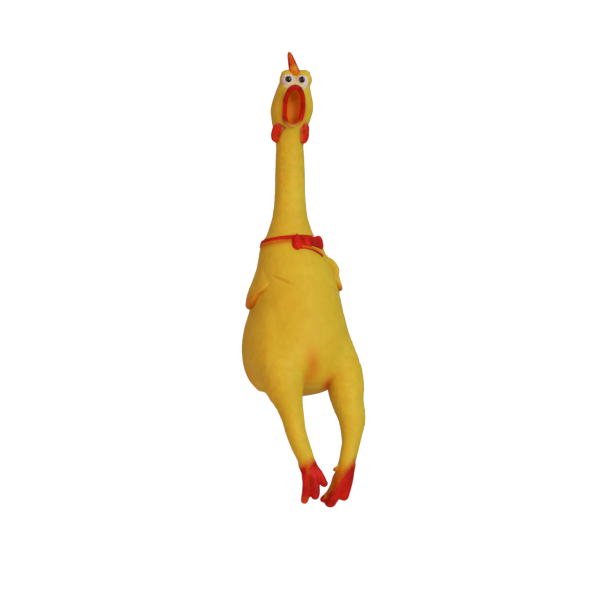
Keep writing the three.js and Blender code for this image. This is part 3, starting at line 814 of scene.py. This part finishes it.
def foot_paint(name, p, red, orange):
    q = from_ankle(name, p)
    (x0, z0), (x1, z1), soft = RED_LINE[name]
    along = np.array([x1 - x0, z1 - z0]) / math.hypot(x1 - x0, z1 - z0)
    d = (q[:, 0] - x0) * along[1] - (q[:, 2] - z0) * along[0]
    mine = (q[:, 2] < 22) & (np.sign(p[:, 0]) == SIDES[name])
    fade = smoothstep(4, -10, q[:, 2]) if name == "left" else smoothstep(-7, 0, d)
    orange[mine] = np.maximum(orange, fade)[mine]
    red[mine] = np.maximum(red, smoothstep(-soft, soft, d))[mine]
    if name == "right":
        streak = np.exp(-(((q[:, 0] - 2.6) / 2.6) ** 2)) * smoothstep(-22, -4, q[:, 2])
        tip = np.exp(-(((q[:, 0] + 0.4) / 4) ** 2)) * smoothstep(-25, -32, q[:, 2])
        red[mine] -= (0.34 * np.maximum(streak, 0.9 * tip) * red)[mine]
    if name == "left":
        from_tip = q - np.array(SPUR[-1][:3]) - (-0.8, 0, 0)
        spur = smoothstep(3.0, 1.4, np.linalg.norm(from_tip, axis=1))
        red[mine] = np.maximum(red, 0.8 * spur)[mine]


# soft orange painted shade in the folds between the legs and on the rump: where, how wide and high, and
# how strong
FOLD_SHADES = [
    ((-5.0, -58, -154), 6, 16, 0.75),
    ((16.3, -42.6, -171), 5.5, 8, 0.8),
    ((-38, 8, -166), 9, 14, 0.5),
    ((0, -32, -178), 14, 7, 0.3),
]


def fold_shade_paint(p):
    """Orange painted shade in the folds between the legs, in the creases below the thighs and along the
    rump.
    """
    orange = np.zeros(len(p))
    for centre, wide, high, amount in FOLD_SHADES:
        q = p - np.array(centre)
        across = q @ RIGHT
        depth = q @ TOWARD
        spray = np.exp(-((across / wide) ** 2) - (q[:, 2] / high) ** 2 - (depth / 22) ** 2)
        orange = np.maximum(orange, amount * spray)
    body, thigh = trunk(p), thighs(p)
    # painted shade: orange in the crease where each thigh meets the belly, low on the body
    fold = np.exp(-(((body - thigh) / 4) ** 2)) * np.exp(-((np.minimum(body, thigh) / 3) ** 2))
    return np.clip(orange + 0.45 * fold * smoothstep(-150, -172, p[:, 2]), 0, 1)


def face_paint(q, red, orange):
    lip = lip_distance(q)
    up = (q[:, 2] - MOUTH_Z) / LIP_HIGH
    near = (np.abs(q[:, 0] - MOUTH_X) < 14) & (q[:, 1] < 4)
    band = mouth_oval(q, LIP_WIDE, LIP_HIGH)
    forward = smoothstep(-13, -15, q[:, 1])
    rim = smoothstep(2.4, 1.6, band) * forward * smoothstep(-2.6, -1.8, band)
    low = smoothstep(-0.62, -1.0, up)
    strength = 1 - 0.94 * low
    red = np.maximum(red, np.maximum(smoothstep(1.2, 0.4, lip), rim) * strength)
    inside = smoothstep(2.2, 0.6, cavity(q)) * near
    spray = (0.6 - 0.2 * low) * smoothstep(5.0, 0.6, lip)
    orange = np.maximum(orange, np.maximum(inside, spray))
    crown = smoothstep(6.5, 2, np.abs(q[:, 0] - 4.4)) * smoothstep(99, 103.5, q[:, 2])
    white = 0.1 * low * smoothstep(1.4, 0.2, lip)
    for eye in EYES.values():
        x, z, wide, high = eye["white"]
        ring = smoothstep(1.2, -0.2, oval(q[:, 0] - x, q[:, 2] - z, wide, high))
        under_lid = smoothstep(z + 6.4, z + 5.2, q[:, 2])
        clear = smoothstep(0.4, 2.2, lip) * smoothstep(-4, -7, q[:, 1]) * under_lid
        white = np.maximum(white, 0.55 * ring * clear)
    return red, np.maximum(orange, 0.55 * crown), white


def skin_paint(p):
    """How much red, orange and white paint is on each point of the skin; some of the orange is painted
    shade in the folds, on the rump and on the shaded side below the collar.
    """
    z = p[:, 2]
    red, orange, white = np.zeros(len(p)), np.zeros(len(p)), np.zeros(len(p))
    if z.min() < -205:
        for name in SIDES:
            foot_paint(name, p, red, orange)
    # orange painted shade in the folds between the legs and on the rump
    low = (z < -95) & (z > -200)
    if low.any():
        orange[low] = np.maximum(orange[low], fold_shade_paint(p[low]))
    # orange overspray below the collar is real paint; its extra strength and width towards -x, the
    # shaded side, is painted shade
    band = (z < -30) & (z > -62)
    side = smoothstep(2, -22, p[band, 0])
    from_line = (above_collar(p[band]) + 3.4) / (1.8 + 1.0 * side)
    spray = (0.55 + 0.3 * side) * np.exp(-(from_line**2))
    orange[band] = np.maximum(orange[band], spray)
    high = z > 42
    if high.any():
        red[high], orange[high], white[high] = face_paint(to_head(p[high]), red[high], orange[high])
    return np.stack([red, orange, white], 1)


def comb_paint(p):
    q = comb_frame(p)
    middle = 0.8 * smoothstep(3.4, 0.6, np.abs(q[:, 0]))
    foot = smoothstep(8, 0, q[:, 2])
    red = 1 - 0.5 * middle - 0.85 * foot * smoothstep(4.8, 2.5, np.abs(q[:, 0]))
    return np.stack([red, np.maximum(middle, foot), 0 * red], 1)


def wattle_paint(p):
    q = to_head(p)
    top = 0.8 * smoothstep(55, 60, q[:, 2])
    inner = np.maximum(smoothstep(10.6, 6.8, np.abs(q[:, 0] - 1.6)), top)
    return np.stack([0.84 - 0.5 * inner, 0 * inner + 1, 0.12 * inner], 1)


def collar_paint(p):
    v = above_collar(p)
    # the red starts higher towards -x, so the lower edge shows a wider orange band on the shaded side:
    # painted shade
    side = smoothstep(0, -22, p[:, 0])
    red = smoothstep(-3.1 + 0.6 * side, -1.2 + 1.6 * side, v)
    return np.stack([red, 0 * red + 1, 0 * red], 1)


def bow_paint(p):
    u, v, off = bow_frame(p).T
    red = smoothstep(-0.4, 0.6, off)
    ribbon = v - np.interp(u, RIBBON_U, RIBBON_V)
    middle, half, _ = hermite(BOW, np.clip(u, BOW[0][0], BOW[-1][0])).T
    beyond = smoothstep(-0.6, 0.4, middle - half - v)
    red = red * (1 - 0.72 * beyond * smoothstep(-1.3, -0.5, ribbon))
    return np.stack([red, 0 * red + 1, 0 * red], 1)


def wing_shade_paint(name):
    # orange painted shade on the wing's lifted tip, along its lower front edge and in the grooves round
    # the scallops
    def paint(p):
        body, scallops, angle = wing_parts(p, name)
        low = smoothstep(-86, -103, p[:, 2]) if name == "right" else smoothstep(-80, -91, p[:, 2])
        front = smoothstep(2.5, -0.5, np.abs(body)) * smoothstep(-76, -92, p[:, 2]) * (angle < 100)
        rims = np.min([np.abs(d) for d in scallops], axis=0)
        orange = 0.7 * low + 0.45 * front + 0.3 * smoothstep(1.4, 0.2, rims)
        return np.stack([0 * orange, np.clip(orange, 0, 1), 0 * orange], 1)

    return paint


# ---------------------------------------------------------------- pieces


def make_piece(name, points, polygons, normals, material, slot, replaced=(), paint=skin_paint):
    mesh = bpy.data.meshes.new(name)
    mesh.from_pydata((points / 1000).tolist(), [], polygons)
    mesh.polygons.foreach_set("use_smooth", np.ones(len(mesh.polygons), bool))
    rest = mesh.attributes.new("rest", "FLOAT_VECTOR", "POINT")
    rest.data.foreach_set("vector", (points / 1000).ravel().astype(np.float32))
    colours = mesh.color_attributes.new("paint", "FLOAT_COLOR", "POINT")
    amounts = np.column_stack([paint(points), np.ones(len(points))])
    colours.data.foreach_set("color", amounts.ravel().astype(np.float32))
    mesh.normals_split_custom_set_from_vertices(normals.tolist())
    mesh.materials.append(material)
    mesh.update()
    obj = bpy.data.objects.new(name, mesh)
    bpy.context.scene.collection.objects.link(obj)
    if replaced:
        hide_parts(*replaced)
    return obj


def skin_piece(name, shape, points, polygons, material, slot, replaced=(), wall=1.4):
    normals = normals_of(shape, points)
    closed, polygons, normals = thicken(points, polygons, normals, wall)
    return make_piece(name, closed, polygons, normals, material, slot, replaced)


def solid_piece(name, shape, low, high, step, material, slot, replaced=(), paint=skin_paint):
    points, faces = surface_net(shape, low, high, step)
    normals = normals_of(shape, points)
    return make_piece(name, points, faces.tolist(), normals, material, slot, replaced, paint)


# ---------------------------------------------------------------- materials


def linear(r, g, b):
    def one(v):
        v /= 255
        return v / 12.92 if v <= 0.04045 else ((v + 0.055) / 1.055) ** 2.4

    return (one(r), one(g), one(b), 1)


class Nodes:
    """A short way to write a material's nodes."""

    def __init__(self, name, **settings):
        self.material = bpy.data.materials.new(name)
        self.material.use_nodes = True
        self.tree = self.material.node_tree
        self.shader = self.tree.nodes["Principled BSDF"]
        for key, value in settings.items():
            self.shader.inputs[key.replace("_", " ")].default_value = value

    def add(self, kind, inputs=None, **properties):
        node = self.tree.nodes.new(kind)
        for key, value in properties.items():
            setattr(node, key, value)
        for key, value in (inputs or {}).items():
            self.put(node.inputs[key], value)
        return node

    def put(self, socket, value):
        if isinstance(value, bpy.types.NodeSocket):
            self.tree.links.new(value, socket)
        else:
            socket.default_value = value

    def rest(self):
        return self.add("ShaderNodeAttribute", attribute_name="rest").outputs["Vector"]

    def noise(self, scale, detail=3.0, roughness=0.5):
        inputs = {"Vector": self.rest(), "Scale": scale, "Detail": detail, "Roughness": roughness}
        return self.add("ShaderNodeTexNoise", inputs).outputs["Fac"]

    def math(self, operation, a, b=0.0):
        return self.add("ShaderNodeMath", {0: a, 1: b}, operation=operation).outputs[0]

    def span(self, value, low, high, to_low=0.0, to_high=1.0):
        inputs = {
            "Value": value,
            "From Min": low,
            "From Max": high,
            "To Min": to_low,
            "To Max": to_high,
        }
        return self.add("ShaderNodeMapRange", inputs).outputs["Result"]

    def mix(self, factor, a, b, blend="MIX"):
        node = self.add("ShaderNodeMix", data_type="RGBA", blend_type=blend)
        self.put(node.inputs[0], factor)
        self.put(node.inputs[6], a)
        self.put(node.inputs[7], b)
        return node.outputs[2]

    def bump(self, height, strength, distance):
        inputs = {"Height": height, "Strength": strength, "Distance": distance}
        self.put(self.shader.inputs["Normal"], self.add("ShaderNodeBump", inputs).outputs["Normal"])

    def finish(self, colour, roughness=None):
        self.put(self.shader.inputs["Base Color"], colour)
        if roughness is not None:
            self.put(self.shader.inputs["Roughness"], roughness)
        return self.material


def vinyl(name, spray):
    """Yellow vinyl with sprayed orange and red paint; the orange also carries painted shade in the
    folds, round the wings and on the shaded side below the collar.
    """
    m = Nodes(name, IOR=1.5)
    m.shader.inputs["Subsurface Weight"].default_value = 0.3
    m.shader.inputs["Subsurface Radius"].default_value = (0.006, 0.0016, 0.0004)
    m.shader.inputs["Subsurface Scale"].default_value = 1
    m.shader.inputs["Specular IOR Level"].default_value = 0.16
    attribute = m.add("ShaderNodeAttribute", attribute_name="paint")
    paint = m.add("ShaderNodeSeparateColor", {"Color": attribute.outputs["Color"]})
    red, orange, white = (paint.outputs[i] for i in range(3))
    broad = m.span(m.noise(22, 3, 0.55), 0.32, 0.68)
    base = m.mix(broad, linear(218, 180, 40), linear(228, 194, 54))
    mottle = m.span(m.noise(160, 2, 0.5), 0.35, 0.68)
    base = m.mix(m.math("MULTIPLY", mottle, 0.35), base, linear(212, 166, 34))
    wander = m.span(m.noise(210, 3, 0.6), 0.3, 0.7, -0.14, 0.14)
    orange = m.math("ADD", orange, m.math("MULTIPLY", wander, orange))
    base = m.mix(m.span(orange, 0, 1, 0, 0.94), base, spray)
    painted = m.math("GREATER_THAN", red, 0.02)
    red = m.span(m.math("ADD", red, m.math("MULTIPLY", wander, painted)), 0.1, 0.9)
    patches = m.span(m.noise(75, 3, 0.55), 0.34, 0.66)
    dark = m.mix(patches, linear(166, 10, 2), linear(216, 26, 6))
    base = m.mix(red, base, dark)
    base = m.mix(white, base, linear(226, 214, 206))
    rough = m.span(m.noise(300, 3, 0.6), 0.3, 0.7, 0.46, 0.6)
    fine = m.math("ADD", m.math("MULTIPLY", m.noise(1500, 3, 0.6), 0.35), m.noise(520, 2, 0.5))
    m.bump(fine, 0.35, 0.0004)
    return m.finish(base, rough)


def eye_paint():
    m = Nodes("white_paint", IOR=1.5)
    tint = m.span(m.noise(180, 3, 0.5), 0.35, 0.65)
    base = m.mix(tint, linear(226, 217, 212), linear(200, 191, 200))
    m.bump(m.noise(800, 2, 0.5), 0.15, 0.0003)
    return m.finish(base, m.span(m.noise(300), 0.3, 0.7, 0.24, 0.34))


def pupil_paint():
    m = Nodes("black_paint", IOR=1.5)
    base = m.mix(m.span(m.noise(500), 0.3, 0.7), linear(14, 12, 12), linear(30, 26, 26))
    m.bump(m.noise(900, 2, 0.5), 0.1, 0.0003)
    return m.finish(base, m.span(m.noise(400), 0.3, 0.7, 0.16, 0.26))


def moulded_plastic(name, a, b):
    m = Nodes(name, IOR=1.46)
    base = m.mix(m.span(m.noise(260), 0.3, 0.7), a, b)
    m.bump(m.noise(1400, 2, 0.5), 0.2, 0.0003)
    return m.finish(base, m.span(m.noise(500), 0.3, 0.7, 0.36, 0.5))


VINYL = vinyl("yellow_vinyl", linear(214, 112, 6))
MOUTH = vinyl("mouth_vinyl", linear(226, 114, 1))
WHITE, BLACK = eye_paint(), pupil_paint()
PLASTIC = moulded_plastic("squawker_plastic", linear(226, 222, 208), linear(238, 234, 222))
FILM = moulded_plastic("reed_film", linear(190, 200, 204), linear(210, 218, 222))

# ---------------------------------------------------------------- building the pieces

DETAIL = 1.0
# the heights at which the skin is cut into its pieces
COLLAR_CUT, HEAD_CUT, HIP_CUT, FOOT_CUT = -43, 18, -187.5, -220

# neck and head, one skin from the lower neck to the crown
neck_points, neck_faces = surface_net(neck, (-30, -32, -49), (30, 32, 32), 0.8 * DETAIL, (0, 1))
for name, low, high, a, b, start, end, nodes in (
    ("neck_skin_base", COLLAR_CUT, -20.5, "torso", "lower_neck", -41, -24, ["lower_neck"]),
    ("neck_skin_middle", -20.5, -1.5, "lower_neck", "middle_neck", -19, -3, ["middle_neck"]),
    ("neck_skin_upper", -1.5, HEAD_CUT, "middle_neck", "upper_neck", 0, 16, ["upper_neck"]),
):
    p, f = cut(neck_points, neck_faces, [(low, 1), (high, -1)])
    obj = skin_piece(name, neck, p, f, VINYL, "yellow_vinyl", nodes)
    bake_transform(obj)

head_points, head_faces = surface_net(head, (-30, -38, 14), (30, 24, 112), 0.62 * DETAIL, (0, 1))
p, f = cut(head_points, head_faces, [(HEAD_CUT, 1)])
centres = np.array([p[face].mean(0) for face in f])
q = to_head(centres)
on_lip = lip_distance(q) < 0.45
near_mouth = (np.abs(q[:, 0] - MOUTH_X) < 11) & (q[:, 2] > 46) & (q[:, 1] < 8)
in_mouth = ~on_lip & (cavity(q) < 1.0) & near_mouth
for name, chosen, material, slot, nodes in (
    ("head_skin", ~on_lip & ~in_mouth, VINYL, "yellow_vinyl", ["head_shell"]),
    ("beak_lip", on_lip, VINYL, "red_vinyl", ["beak_rim"]),
    ("mouth_cavity", in_mouth, MOUTH, "orange_vinyl", ["mouth_lining"]),
):
    pp, ff = select(p, f, chosen)
    obj = skin_piece(name, head, pp, ff, material, slot, nodes, wall=1.0)
    if name == "head_skin":
        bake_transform(obj)
    else:
        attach(obj, "head")

# torso with the thighs, the tail and the breast crease
low, high = (-56, -84, -206), (56, 64, -38)
torso_points, torso_faces = surface_net(torso, low, high, 1.15 * DETAIL, (0, 1))
p, f = cut(torso_points, torso_faces, [(COLLAR_CUT, -1), (HIP_CUT, 1)])
nodes = ["torso_shell", "belly_panel", "tail"]
torso_skin = skin_piece("torso_skin", torso, p, f, VINYL, "yellow_vinyl", nodes)
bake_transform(torso_skin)

# legs and feet
for name in SIDES:
    x, y, _ = ANKLE[name]
    shape = leg(name)
    near, far = min(x, KNEE[name][0]) - 26, max(x, KNEE[name][0]) + 26
    low, high = (near, y - 18, -286), (far, y + 42, -180)
    points, faces = surface_net(shape, low, high, 0.72 * DETAIL, (0, 1))
    p, f = cut(points, faces, [(HIP_CUT, -1), (FOOT_CUT, 1)])
    obj = skin_piece(f"{name}_leg_skin", shape, p, f, VINYL, "yellow_vinyl", [f"{name}_shank"], wall=1.2)
    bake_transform(obj)
    p, f = cut(points, faces, [(FOOT_CUT, -1)])
    obj = skin_piece(f"{name}_foot_skin", shape, p, f, VINYL, "red_vinyl", [f"{name}_foot"], wall=1.0)
    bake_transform(obj)

# trim
x, y, z = COMB_BASE
low, high = (x - 16, y - 18, z - 9), (x + 14, y + 18, z + 23)
obj = solid_piece(
    "comb_fin", comb, low, high, 0.5 * DETAIL, VINYL, "red_vinyl", ["comb"], comb_paint
)
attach(obj, "comb")


def around(node, margin):
    """The corners of a node's box, with a margin, in millimetres."""
    low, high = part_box(node)
    return np.array(low) * 1000 - margin, np.array(high) * 1000 + margin


for name in SIDES:
    low, high = around(f"{name}_wattle", 12)
    flap, nodes = f"{name}_wattle_flap", [f"{name}_wattle"]
    obj = solid_piece(
        flap, wattle(name), low, high, 0.55 * DETAIL, VINYL, "red_vinyl", nodes, wattle_paint
    )
    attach(obj, f"{name}_wattle")
    low, high = around(f"{name}_wing", 16)
    feathers, nodes, paint = f"{name}_wing_feathers", [f"{name}_wing"], wing_shade_paint(name)
    obj = solid_piece(
        feathers, wing(name), low, high, 0.75 * DETAIL, VINYL, "yellow_vinyl", nodes, paint
    )
    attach(obj, f"{name}_wing")
low, high = around("collar_band", 5)
nodes = ["collar_band"]
obj = solid_piece(
    "collar_ribbon", collar, low, high, 0.6 * DETAIL, VINYL, "red_vinyl", nodes, collar_paint
)
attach(obj, "torso")
nodes = ["bow_knot", "bow_left_loop", "bow_right_loop", "bow_left_tail", "bow_right_tail"]
low, high = (-22, -44, -68), (34, -8, -34)
obj = solid_piece("bow", bow, low, high, 0.5 * DETAIL, VINYL, "red_vinyl", nodes, bow_paint)
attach(obj, "torso")


def no_paint(p):
    return np.zeros((len(p), 3))


for name, eye in EYES.items():
    ball, radii = np.array(eye["ball"]), np.array(eye["radii"])

    def white(p, eye=eye, ball=ball, radii=radii):
        q = to_head(p)
        x, z, wide, high = eye["white"]
        patch = oval(q[:, 0] - x, q[:, 2] - z, wide, high)
        cap = smooth_max(ellipsoid(q, ball, radii + WHITE_PROUD), patch, 0.8)
        return smooth_max(cap, q[:, 1] - ball[1] + 1.5, 0.5)

    px, pz = eye["pupil"]
    k = 1 - ((px - ball[0]) / radii[0]) ** 2 - ((pz - ball[2]) / radii[2]) ** 2
    front_y = ball[1] - radii[1] * math.sqrt(k)

    def pupil(p, px=px, pz=pz, front_y=front_y):
        return ellipsoid(to_head(p), (px, front_y + 0.7, pz), (3.0, 1.7, 3.0))

    middle = from_head(ball)[0]
    low, high = middle - 10, middle + 10
    eyeball, nodes = f"{name}_eyeball", [f"{name}_eye"]
    obj = solid_piece(
        eyeball, white, low, high, 0.45 * DETAIL, WHITE, "white_paint", nodes, no_paint
    )
    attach(obj, "head")
    middle = from_head(np.array([px, front_y, pz]))[0]
    low, high = middle - 5, middle + 5
    dot, nodes = f"{name}_pupil_dot", [f"{name}_pupil"]
    obj = solid_piece(dot, pupil, low, high, 0.25 * DETAIL, BLACK, "black_paint", nodes, no_paint)
    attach(obj, "head")

# the squawker's parts keep their own shapes
for name, node in frame["nodes"].items():
    if not node.hide_render:
        rest = node.data.attributes.new("rest", "FLOAT_VECTOR", "POINT")
        places = np.array([v.co for v in node.data.vertices]).ravel()
        rest.data.foreach_set("vector", places.astype(np.float32))
        node.data.materials.clear()
        node.data.materials.append(FILM if name == "reed" else PLASTIC)

# ---------------------------------------------------------------- floor, light and camera


def backdrop():
    """A pale floor that sweeps up into a round backdrop on every side."""
    sides, radius, bend, height = 64, 7.0, 2.0, 6.0
    arc = np.linspace(0, math.pi / 2, 16)
    profile = [(radius - bend + bend * math.sin(a), bend - bend * math.cos(a)) for a in arc]
    profile.append((radius, height))
    verts = [(0, 0, FLOOR)]
    for out, up in profile:
        for i in range(sides):
            a = 2 * math.pi * i / sides
            verts.append((out * math.cos(a), out * math.sin(a), FLOOR + up))
    faces = [(0, 1 + i, 1 + (i + 1) % sides) for i in range(sides)]
    for row in range(len(profile) - 1):
        base = 1 + row * sides
        for i in range(sides):
            j = (i + 1) % sides
            faces.append((base + i, base + sides + i, base + sides + j, base + j))
    mesh = bpy.data.meshes.new("backdrop")
    mesh.from_pydata(verts, [], faces)
    mesh.polygons.foreach_set("use_smooth", [True] * len(faces))
    m = Nodes("backdrop_paper")
    m.shader.inputs["Base Color"].default_value = (0.93, 0.93, 0.93, 1)
    m.shader.inputs["Roughness"].default_value = 0.9
    m.shader.inputs["Specular IOR Level"].default_value = 0.1
    m.shader.inputs["Emission Color"].default_value = (1, 1, 1, 1)
    m.shader.inputs["Emission Strength"].default_value = 0.95
    mesh.materials.append(m.material)
    obj = bpy.data.objects.new("backdrop", mesh)
    bpy.context.scene.collection.objects.link(obj)
    obj.visible_diffuse = obj.visible_glossy = obj.visible_shadow = False


FLOOR = -0.42  # the toy is held clear of it
backdrop()


def area_light(name, place, aim, size, power, colour=(1, 1, 1)):
    light = bpy.data.lights.new(name, "AREA")
    light.shape = "DISK"
    light.size = size
    light.energy = power
    light.color = colour
    obj = bpy.data.objects.new(name, light)
    obj.location = place
    obj.rotation_euler = (Vector(aim) - Vector(place)).to_track_quat("-Z", "Y").to_euler()
    bpy.context.scene.collection.objects.link(obj)


def seen(right, toward, up):
    """A point by how far it is along RIGHT, along TOWARD and up, in metres."""
    return tuple(right * RIGHT + toward * TOWARD + np.array([0, 0, up]))


AIM = seen(0, 0, -0.1)
area_light("key", seen(1.3, 1.7, 0.6), AIM, 1.3, 31)
area_light("fill", seen(-1.4, 1.3, 0.0), AIM, 1.6, 16, (1, 0.51, 0.26))
area_light("top", seen(0.2, 0.2, 1.6), AIM, 1.4, 4)
area_light("back", seen(0, -1.8, 0.3), AIM, 0.5, 20)
area_light("bounce", seen(0.1, 0.3, -1.2), AIM, 1.0, 5, (1, 0.78, 0.5))

world = bpy.data.worlds.new("studio")
world.use_nodes = True
world.node_tree.nodes["Background"].inputs["Color"].default_value = (1, 1, 1, 1)
world.node_tree.nodes["Background"].inputs["Strength"].default_value = 0.2
bpy.context.scene.world = world

FRAME_WIDTH = 0.5274
DISTANCE = 5.0
camera = bpy.data.cameras.new("camera")
camera.sensor_width = 36
camera.lens = camera.sensor_width * DISTANCE / FRAME_WIDTH
camera.clip_end = 50
view = bpy.data.objects.new("camera", camera)
target = Vector(seen(0.0088, 0, -0.0967))
view.location = target + DISTANCE * Vector(TOWARD)
view.rotation_euler = (target - view.location).to_track_quat("-Z", "Y").to_euler()
bpy.context.scene.collection.objects.link(view)
bpy.context.scene.camera = view
bpy.context.scene.view_settings.view_transform = "Standard"
